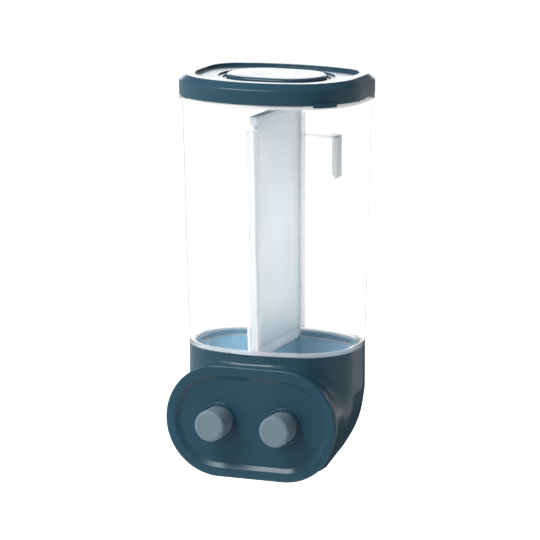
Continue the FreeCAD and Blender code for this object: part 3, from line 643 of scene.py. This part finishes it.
def front_rail(side):
    """Rail that follows the leaning front wall."""
    rows = []
    for z in (SEAT_TOP, RAIL_TOP):
        wall = tank_row(-TANK_WALL, z)[0][1] + 0.05
        inner = DIVIDER_FRONT + RAIL_DEPTH
        section = soften([
            (RAIL_INNER, wall + 1, 0), (RAIL_INNER, inner, 0.5), (RAIL_OUTER, inner, 0.5),
            (RAIL_OUTER, wall, 0.3), (RAIL_INNER, wall, 0.3), (RAIL_INNER, wall + 1, 0)], 3)
        rows.append(np.array([(side * x, y, z) for x, y in section[:-1]]))
    return skin(rows, start_cap=True, end_cap=True)


def softened(node, width):
    """A CAD node's form with its sharp edges rounded."""
    cad = frame["nodes"][node]
    shape = bmesh.new()
    shape.from_mesh(cad.data)
    bmesh.ops.transform(shape, matrix=cad.matrix_world, verts=shape.verts[:])
    bmesh.ops.remove_doubles(shape, verts=shape.verts[:], dist=1e-6)
    bmesh.ops.dissolve_limit(shape, angle_limit=FLAT_ANGLE, verts=shape.verts[:],
                             edges=shape.edges[:])
    edges = [edge for edge in shape.edges if edge.calc_face_angle(0.0) > EDGE_ANGLE]
    bmesh.ops.bevel(shape, geom=edges, offset=width / 1000, segments=2, profile=0.5, affect="EDGES",
                    clamp_overlap=True)
    points, faces = take_form(shape)
    return np.array(points) * 1000 + (0.0, WALL_LINE, MOUNT_LEVEL), faces


def make_bracket():
    """Wall bracket and its tape, with rounded edges."""
    add_piece("bracket_clear", [softened("wall_bracket", 0.5)], "bracket", "clear_plastic",
              ("wall_bracket",), MATERIALS["clear_sheet"])
    add_piece("tape_clear", [softened("adhesive_pad", 0.2)], "bracket", "clear_adhesive",
              ("adhesive_pad",))


def make_liner():
    """Thin lip of the hopper insert that lines the housing up to its rim."""
    wall = [(LINER_OUTER, LINER_BOTTOM), (LINER_OUTER, LINER_TOP),
            (LINER_INNER, LINER_TOP), (LINER_INNER, LINER_BOTTOM)]
    rows = [level_row(RING, offset, z) for offset, z in wall]
    add_piece("hopper_liner", [skin(rows, loop=True)], "container", "pale_blue_plastic")


def make_divider():
    """Frosted plate with its narrow foot, and the thick bead it is pulled up by."""
    forms = [
        rounded_box((-PLATE_HALF, DIVIDER_FRONT, DIVIDER_BOTTOM),
                    (PLATE_HALF, DIVIDER_BACK, BEAD_BOTTOM + 0.1), 0.4),
        rounded_box((-PLATE_HALF, DIVIDER_FRONT + TONGUE_STEP, TONGUE_BOTTOM),
                    (PLATE_HALF, DIVIDER_BACK - TONGUE_STEP, DIVIDER_BOTTOM - 0.02), 0.4),
        rounded_box((-BEAD_HALF, DIVIDER_FRONT, BEAD_BOTTOM),
                    (BEAD_HALF, DIVIDER_BACK, DIVIDER_TOP), 1.2, 4)]
    add_piece("divider_frosted", forms, "container", "frosted_plastic", ("divider_panel",))


def make_lid():
    """Lid: skirt, slope, flat rim, recess, oval well, and the plug ring underneath."""
    outside = soften([
        (SKIRT_INSIDE, LID_CEILING, 0), (SKIRT_INSIDE, SKIRT_BOTTOM, 0.5),
        (SKIRT_PROUD, SKIRT_BOTTOM, 0.7), (SKIRT_PROUD, SLOPE_BOTTOM, 2.2),
        (LID_RIM_OUTER, LID_TOP, 1.0), (LID_RIM_INNER, LID_TOP, 0.7),
        (LID_RIM_INNER, LID_FLOOR, 0.8), (LID_RIM_INNER - 4, LID_FLOOR, 0)])
    rows = [level_row(MOUTH, offset, z) for offset, z in outside]
    well = soften([
        (WELL_RADIUS + 4, LID_FLOOR, 0), (WELL_RADIUS, LID_FLOOR, 0.3), (WELL_RADIUS, WELL_FLOOR, 0.3),
        (WELL_STEP, WELL_FLOOR, 0.3), (WELL_STEP, WELL_BOTTOM, 0.3), (GRIP_RADIUS - 6, WELL_BOTTOM, 0)])
    rows += [grip_row(radius, z) for radius, z in well]
    under = soften([
        (SKIRT_INSIDE, LID_CEILING, 0), (PLUG_OUTER, LID_CEILING, 0.4), (PLUG_OUTER, PLUG_BOTTOM, 0.6),
        (PLUG_INNER, PLUG_BOTTOM, 0.6), (PLUG_INNER, LID_UNDERSIDE, 0.6),
        (PLUG_INNER - 4, LID_UNDERSIDE, 0)], 4)
    below = [level_row(MOUTH, offset, z) for offset, z in under]
    forms = [skin(rows, end_cap=True), skin(below, end_cap=True), lift_tab()]
    add_piece("lid_cover", forms, "lid", "teal_plastic", ("lid_shell",))


def lift_tab():
    """Thumb tab under the skirt at the front right corner, clear of the tank's rim."""
    clear = level_row(MOUTH, TAB_INSIDE, 0)[:, :2]
    chosen = [index for index, point in enumerate(clear)
              if np.hypot(*(point - TAB_MIDDLE)) < TAB_RADIUS]
    joined = level_row(MOUTH, SKIRT_PROUD - 0.6, 0)[chosen, :2]
    inside = clear[chosen]
    start, end = inside[-1] - TAB_MIDDLE, inside[0] - TAB_MIDDLE
    first, last = math.atan2(start[1], start[0]), math.atan2(end[1], end[0])
    turn = (first - last) % (2 * math.pi)
    arc = np.array([(TAB_MIDDLE[0] + TAB_RADIUS * math.cos(first - turn * share),
                     TAB_MIDDLE[1] + TAB_RADIUS * math.sin(first - turn * share))
                    for share in np.linspace(0, 1, 16)])
    middle = arc.mean(axis=0)
    soft = 0.994
    levels = ((inside, soft, TAB_BOTTOM), (inside, 1.0, TAB_BOTTOM + 0.3),
              (inside, 1.0, SKIRT_BOTTOM), (joined, 1.0, SKIRT_BOTTOM + 0.1),
              (joined, 1.0, TAB_TOP - 0.4), (joined, soft, TAB_TOP))
    rows = [at_level(np.vstack((inner, middle + (arc - middle) * shrink)), z)
            for inner, shrink, z in levels]
    return skin(rows, start_cap=True, end_cap=True)


def make_grip():
    """Raised oval grip with a rounded edge and a faint crown."""
    profile = soften([
        (GRIP_RADIUS, WELL_BOTTOM, 0), (GRIP_RADIUS, GRIP_TOP - 0.2, 2.2),
        (GRIP_RADIUS - 8, GRIP_TOP, 6), (1.0, GRIP_TOP, 0)], 8)
    rows = [grip_row(radius, z) for radius, z in profile]
    form = skin(rows, start_cap=True, end_cap=True)
    add_piece("lid_grip_pad", [form], "lid", "teal_plastic", ("lid_grip",))


def stadium_rows(profile):
    """Upright stadium rows from (radius, y) pairs, all about the drum's middle."""
    half_turn = np.linspace(-math.pi / 2, math.pi / 2, 40)
    angles = np.concatenate((half_turn, half_turn + math.pi))
    shift = np.where(np.arange(len(angles)) < len(half_turn), DRUM_HALF, -DRUM_HALF)
    return [np.column_stack((shift + radius * np.cos(angles), np.full(len(angles), y),
                             DRUM_RADIUS + radius * np.sin(angles))) for radius, y in profile]


def make_panel():
    """Front panel: rounded border, sloped step, flat floor and a lip round each button."""
    inner = DRUM_RADIUS - PANEL_BORDER
    floor_radius = inner - PANEL_SLOPE - 1.4
    rows = stadium_rows(soften([
        (DRUM_RADIUS, PANEL_BACK, 0), (DRUM_RADIUS, PANEL_FRONT, 1.4), (inner, PANEL_FRONT, 1.2),
        (inner - PANEL_SLOPE, PANEL_FLOOR, 1.4), (floor_radius, PANEL_FLOOR, 0)]))
    forms = [skin(rows)]
    lip_outer = BUTTON_HOLE + LIP_WALL
    lip = soften([
        (lip_outer + 1.0, PANEL_FLOOR, 0), (lip_outer, PANEL_FLOOR, 0.6), (lip_outer, LIP_FRONT, 0.3),
        (BUTTON_HOLE, LIP_FRONT, 0.25), (BUTTON_HOLE, PANEL_BACK, 0)])
    floor_loops, back_loops = [rows[-1]], [rows[0]]
    for x in (-BUTTON_X, BUTTON_X):
        ring = lathe(lip, x, BUTTON_LEVEL)
        forms.append(skin(ring))
        floor_loops.append(ring[0])
        back_loops.append(ring[-1])
    forms += [fill(floor_loops), fill(back_loops)]
    add_piece("panel_front", forms, "container", "teal_plastic", ("front_panel",))


def make_button(side, x):
    """Finger button: faintly dished face, soft edge, hollow back and a flange behind the panel."""
    inner = BUTTON_RADIUS - BUTTON_WALL
    profile = soften([
        (0.3, BUTTON_FRONT + 0.25, 0), (7.0, BUTTON_FRONT + 0.2, 6), (9.0, BUTTON_FRONT, 3),
        (BUTTON_RADIUS, BUTTON_FRONT, 2.1), (BUTTON_RADIUS, FLANGE_FRONT, 0.3),
        (FLANGE_RADIUS, FLANGE_FRONT, 0.4), (FLANGE_RADIUS, BUTTON_BACK, 0.4),
        (inner, BUTTON_BACK, 0.3), (inner, BUTTON_FRONT + BUTTON_WALL, 0.6),
        (0.3, BUTTON_FRONT + BUTTON_WALL, 0)])
    form = skin(lathe(profile, x, BUTTON_LEVEL), start_cap=True, end_cap=True)
    add_piece("button_cap_" + side, [form], side + "_button", "grey_plastic", ("button_" + side,))


def make_spring(side, x):
    """Return spring, a fixed coil of wire between the button and its seat."""
    count = SPRING_STEPS * SPRING_TURNS
    along = np.array((0.0, 1.0, 0.0))
    rows = []
    for step in range(count + 1):
        angle = 2 * math.pi * step / SPRING_STEPS
        centre = np.array((x + SPRING_RADIUS * math.cos(angle),
                           SPRING_FRONT + (SPRING_SEAT - SPRING_FRONT) * step / count,
                           BUTTON_LEVEL + SPRING_RADIUS * math.sin(angle)))
        outward = np.array((math.cos(angle), 0.0, math.sin(angle)))
        rows.append([centre + SPRING_WIRE * (outward * math.cos(turn) + along * math.sin(turn))
                     for turn in np.linspace(0, 2 * math.pi, WIRE_SIDES, endpoint=False)])
    form = skin(rows, start_cap=True, end_cap=True)
    piece = add_piece("spring_" + side, [form], "container", "steel", ("return_spring_" + side,))
    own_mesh(piece)


# Housing: the bowl and the drum flow into each other over a soft shoulder

def ring_reach(direction_x, direction_y):
    """Distance from the bowl's middle to the ring outline in given directions."""
    flat = RING[0] - (0.0, BOWL_MIDDLE)
    angles = np.arctan2(flat[:, 1], flat[:, 0])
    order = np.argsort(angles)
    reach = np.hypot(flat[:, 0], flat[:, 1])[order]
    return np.interp(np.arctan2(direction_y, direction_x), angles[order], reach, period=2 * math.pi)


def bowl_scale(z):
    """Scale of the ring outline at a level: a smooth curve through the bowl's sections."""
    curve = np.polyfit(BOWL_LEVELS, BOWL_SCALES, 4)
    bowl = np.polyval(curve, np.clip(z, -5.0, BOWL_LEVELS[-1]))
    return np.where(z < BOWL_LEVELS[-1], bowl, BOWL_SCALES[-1])


def housing_field(x, y, z):
    """Negative inside the housing's outer skin: a soft union of bowl and drum."""
    scale = bowl_scale(z)
    bowl = np.hypot(x, y - BOWL_MIDDLE) - scale * ring_reach(x, y - BOWL_MIDDLE)
    behind = y - PANEL_BACK
    taper = DRUM_TAPER * np.maximum(behind, 0.0)
    radius = DRUM_RADIUS - taper - DRUM_TUCK * np.clip(-behind, 0.0, 1.0)
    side = np.hypot(np.maximum(np.abs(x) - DRUM_HALF, 0.0), z - DRUM_RADIUS) - radius
    drum = np.maximum(side, y - DRUM_BACK)
    blend = np.clip(0.5 + 0.5 * (bowl - drum) / SHOULDER_BLEND, 0.0, 1.0)
    return bowl * (1 - blend) + drum * blend - SHOULDER_BLEND * blend * (1 - blend)


def field_skin(field, low, high, step):
    """Quads on the zero surface of a field, one point in each cell that it crosses."""
    axes = [np.arange(start, stop + step, step) for start, stop in zip(low, high)]
    grid = np.meshgrid(*axes, indexing="ij")
    values = field(*grid)
    inside = values < 0
    corners = [(i, j, k) for i in (0, 1) for j in (0, 1) for k in (0, 1)]
    size = [len(axis) - 1 for axis in axes]
    count = sum(inside[i:i + size[0], j:j + size[1], k:k + size[2]].astype(int)
                for i, j, k in corners)
    cells = np.argwhere((count > 0) & (count < 8))
    number = -np.ones(size, int)
    number[tuple(cells.T)] = np.arange(len(cells))
    points = np.array(low) + (cells + 0.5) * step
    probe = 0.1
    for _ in range(8):
        value = field(*points.T)
        slope = np.stack([(field(*(points + shift).T) - field(*(points - shift).T)) / (2 * probe)
                          for shift in np.eye(3) * probe], axis=1)
        move = slope * (value / np.maximum((slope ** 2).sum(axis=1), 1e-6))[:, None]
        points = points - np.clip(move, -step / 2, step / 2)
    faces = []
    for axis in range(3):
        first, second = [other for other in range(3) if other != axis]
        ahead = np.take(inside, range(1, inside.shape[axis]), axis)
        behind = np.take(inside, range(inside.shape[axis] - 1), axis)
        for cell in np.argwhere(ahead != behind):
            if any(cell[other] == 0 or cell[other] > size[other] - 1 for other in (first, second)):
                continue
            ring = []
            for back_first, back_second in ((1, 1), (0, 1), (0, 0), (1, 0)):
                place = list(cell)
                place[first] -= back_first
                place[second] -= back_second
                ring.append(number[tuple(place)])
            faces.append(tuple(ring))
    return [tuple(point) for point in points], faces


def cut_away(shape, point, normal):
    """Remove what lies on the normal's side of a plane, and return the edges of the cut."""
    geometry = shape.verts[:] + shape.edges[:] + shape.faces[:]
    cut = bmesh.ops.bisect_plane(shape, geom=geometry, plane_co=point, plane_no=normal,
                                 clear_outer=True)
    return [item for item in cut["geom_cut"] if isinstance(item, bmesh.types.BMEdge)]


def make_housing():
    """Housing shell, open under the tank and behind the panel, with outlets in its floor."""
    shape = bmesh.new()
    add_form(shape, *field_skin(housing_field, HOUSING_LOW, HOUSING_HIGH, HOUSING_STEP))
    cut_away(shape, (0, DRUM_FRONT, 0), (0, -1, 0))
    cut_away(shape, (0, 0, BASE_HEIGHT), (0, 0, 1))
    floor_edges = cut_away(shape, (0, 0, 0), (0, 0, -1))
    turns = np.linspace(0, 2 * math.pi, 28, endpoint=False)
    for y in SCREW_PLACES:
        floor_edges += add_loop(shape, [
            (SCREW_RECESS * math.cos(turn), y + SCREW_RECESS * math.sin(turn)) for turn in turns])
    bmesh.ops.triangle_fill(shape, edges=floor_edges, use_beauty=True)
    for x in (-BUTTON_X, BUTTON_X):
        cut_outlet(shape, x)
    cut_notch(shape)
    loose = [vert for vert in shape.verts if not vert.link_faces]
    bmesh.ops.delete(shape, geom=loose, context="VERTS")
    piece = add_piece("housing_shell", [take_form(shape)], "container", "teal_plastic",
                      ("base_housing",))
    thicken = piece.modifiers.new("wall", "SOLIDIFY")
    thicken.thickness = HOUSING_WALL / 1000
    thicken.offset = -1.0
    add_piece("housing_notch", [notch_back()], "container", "teal_plastic")


def cut_hole(shape, planes, near, inside):
    """Cut planes into the skin where near holds, and take out the faces where inside holds."""
    for point, normal in planes:
        faces = [face for face in shape.faces if near(face.calc_center_median())]
        edges = {edge for face in faces for edge in face.edges}
        verts = {vert for face in faces for vert in face.verts}
        bmesh.ops.bisect_plane(shape, geom=faces + list(edges) + list(verts), plane_co=point,
                               plane_no=normal)
    gone = [face for face in shape.faces if inside(face.calc_center_median())]
    bmesh.ops.delete(shape, geom=gone, context="FACES")


def cut_outlet(shape, x):
    """Outlet through the skin near the floor."""
    planes = [((x - CHUTE_HALF, 0, 0), (1, 0, 0)), ((x + CHUTE_HALF, 0, 0), (1, 0, 0)),
              ((0, CHUTE_FRONT, 0), (0, 1, 0)), ((0, CHUTE_BACK, 0), (0, 1, 0))]

    def low(place):
        return place.z < CHUTE_CUT

    def inside(place):
        return low(place) and abs(place.x - x) < CHUTE_HALF and CHUTE_FRONT < place.y < CHUTE_BACK

    cut_hole(shape, planes, low, inside)


def cut_notch(shape):
    """Shallow notch in the front of the rim."""
    planes = [((NOTCH_LEFT, 0, 0), (1, 0, 0)), ((NOTCH_RIGHT, 0, 0), (1, 0, 0)),
              ((0, 0, NOTCH_BOTTOM), (0, 0, 1))]

    def near(place):
        return place.y < BOWL_MIDDLE and place.z > NOTCH_BOTTOM - 3

    def inside(place):
        return place.y < BOWL_MIDDLE and place.z > NOTCH_BOTTOM and NOTCH_LEFT < place.x < NOTCH_RIGHT

    cut_hole(shape, planes, near, inside)


def notch_back():
    """Wall left behind the notch."""
    points, normals = RING
    low, high = NOTCH_BOTTOM - 0.4, BASE_HEIGHT - 0.1
    inner = 0.1 - HOUSING_WALL
    corners = ((-NOTCH_DEPTH, low), (-NOTCH_DEPTH, high), (inner, high), (inner, low))
    chosen = [index for index, (x, y) in enumerate(points)
              if y < 0 and NOTCH_LEFT - 3 < x < NOTCH_RIGHT + 3]
    chosen.sort(key=lambda index: points[index][0])
    rows = [[(*(points[index] + offset * normals[index]), z) for offset, z in corners]
            for index in chosen]
    return skin(rows, start_cap=True, end_cap=True)


def add_loop(shape, flat):
    """Closed loop of edges on the housing's floor."""
    verts = [shape.verts.new((x, y, 0.0)) for x, y in flat]
    return [shape.edges.new((vert, verts[(index + 1) % len(verts)]))
            for index, vert in enumerate(verts)]


# Stage

def make_camera():
    """Long lens, from the right and a little above."""
    camera = bpy.data.objects.new("camera", bpy.data.cameras.new("camera"))
    bpy.context.scene.collection.objects.link(camera)
    camera.data.lens = CAMERA_LENS
    camera.data.sensor_width = 36.0
    camera.data.clip_end = 50.0
    toward = Vector((math.sin(CAMERA_AZIMUTH) * math.cos(CAMERA_ELEVATION),
                     -math.cos(CAMERA_AZIMUTH) * math.cos(CAMERA_ELEVATION),
                     math.sin(CAMERA_ELEVATION)))
    camera.location = Vector(metres(TARGET)) + toward * (CAMERA_DISTANCE / 1000)
    camera.rotation_euler = toward.to_track_quat("Z", "Y").to_euler()
    bpy.context.scene.camera = camera


def make_world():
    """White to look at, a dim room in reflections, and a soft fill that is stronger from the left."""
    world = bpy.data.worlds.new("studio")
    bpy.context.scene.world = world
    world.use_nodes = True
    tree = world.node_tree
    background = tree.nodes["Background"]
    toward = split_place(tree, "Generated")
    behind = ranged(tree, toward["Y"], -0.35, 0.3, 0.12, 0.35)
    left = ranged(tree, toward["X"], -0.35, -0.95, 0.0, 0.4)
    right = combine(tree, "MINIMUM", ranged(tree, toward["Y"], -0.1, 0.4, 0.0, ROOM_RIGHT),
                    ranged(tree, toward["X"], 0.3, 0.7, 0.0, ROOM_RIGHT))
    sides = combine(tree, "MAXIMUM", combine(tree, "MAXIMUM", behind, left), right)
    low = ranged(tree, toward["Z"], -0.5, 0.05, 0.45, 1.0)
    high = ranged(tree, toward["Z"], 0.25, 0.6, 1.0, 0.3)
    room = combine(tree, "MULTIPLY", sides, combine(tree, "MULTIPLY", low, high))
    even = tree.nodes.new("ShaderNodeMix")
    fill_light = ranged(tree, toward["X"], -0.9, 0.3, FILL_LEFT, FILL_RIGHT)
    tree.links.new(fill_light, even.inputs["A"])
    tree.links.new(room, even.inputs["B"])
    tree.links.new(ray_share(tree, "Is Glossy Ray"), even.inputs["Factor"])
    seen = ray_share(tree, "Is Camera Ray", "Is Transmission Ray")
    strength = combine(tree, "MAXIMUM", even.outputs["Result"], seen)
    tree.links.new(strength, background.inputs["Strength"])
    background.inputs["Color"].default_value = (1, 1, 1, 1)


def make_floor():
    """Pale floor well below the container, which hangs on a wall."""
    front, reach = -0.6, 6.0
    mesh = bpy.data.meshes.new("floor")
    corners = [(-reach, front, 0), (reach, front, 0), (reach, reach, 0), (-reach, reach, 0)]
    mesh.from_pydata(corners, [], [(0, 1, 2, 3)])
    floor = bpy.data.objects.new("floor", mesh)
    floor.location = metres((0, 0, -FLOOR_DROP))
    bpy.context.scene.collection.objects.link(floor)
    material, tree, shader = new_material("floor_paper")
    shader.inputs["Base Color"].default_value = (0.85, 0.85, 0.85, 1)
    shader.inputs["Roughness"].default_value = 0.9
    shader.inputs["Emission Color"].default_value = (1, 1, 1, 1)
    lift = ray_share(tree, "Is Camera Ray", "Is Transmission Ray")
    tree.links.new(ranged(tree, lift, 0.0, 1.0, 0.0, FLOOR_LIFT), shader.inputs["Emission Strength"])
    mesh.materials.append(material)


def make_flag():
    """Dark card over the floor behind the container, for dark edges on its glossy base."""
    mesh = bpy.data.meshes.new("flag")
    left, right, front, back = -0.3, 0.42, 0.1, 1.8
    corners = [(left, front, 0), (right, front, 0), (right, back, 0), (left, back, 0)]
    mesh.from_pydata(corners, [], [(0, 1, 2, 3)])
    flag = bpy.data.objects.new("flag", mesh)
    flag.location = metres((0, 0, FLAG_LIFT - FLOOR_DROP))
    flag.visible_camera = False
    flag.visible_diffuse = False
    flag.visible_shadow = False
    flag.visible_transmission = False
    bpy.context.scene.collection.objects.link(flag)
    material, _, shader = new_material("flag_cloth")
    shader.inputs["Base Color"].default_value = (0.02, 0.02, 0.02, 1)
    shader.inputs["Roughness"].default_value = 1.0
    mesh.materials.append(material)


def add_light(name, place, aim, width, height, power):
    """Rectangular lamp of a power in watts that faces a point."""
    data = bpy.data.lights.new(name, "AREA")
    data.shape = "RECTANGLE"
    data.size = width
    data.size_y = height
    data.energy = power
    light = bpy.data.objects.new(name, data)
    light.location = place
    light.rotation_euler = (Vector(place) - Vector(aim)).to_track_quat("Z", "Y").to_euler()
    light.visible_camera = False
    bpy.context.scene.collection.objects.link(light)
    return light


def make_lights():
    """Soft key at the left, a card behind, a box above the front and a wash for the floor."""
    middle = tuple(metres(TARGET))
    key = add_light("key", (-0.85, -0.5, 0.1), middle, 0.9, 0.9, 1.6)
    key.visible_glossy = False
    add_light("back_card", (-0.55, 1.3, 0.4), (0.0, -0.06, 0.07), 1.1, 0.65, 5.6)
    add_light("front_box", (-0.53, -0.95, 0.92), middle, 0.8, 0.3, 9.0)
    add_light("floor_wash", (0.6, 2.0, 0.4), (0.6, 2.0, -1.0), 1.2, 1.2, 3.0)


dress_cad_nodes()
make_tank()
make_ribs()
make_divider()
make_liner()
make_bracket()
make_lid()
make_grip()
make_panel()
make_housing()
for side, x in (("left", -BUTTON_X), ("right", BUTTON_X)):
    make_button(side, x)
    make_spring(side, x)
make_floor()
make_flag()
make_lights()
make_world()
make_camera()
bpy.context.scene.view_settings.view_transform = "Standard"
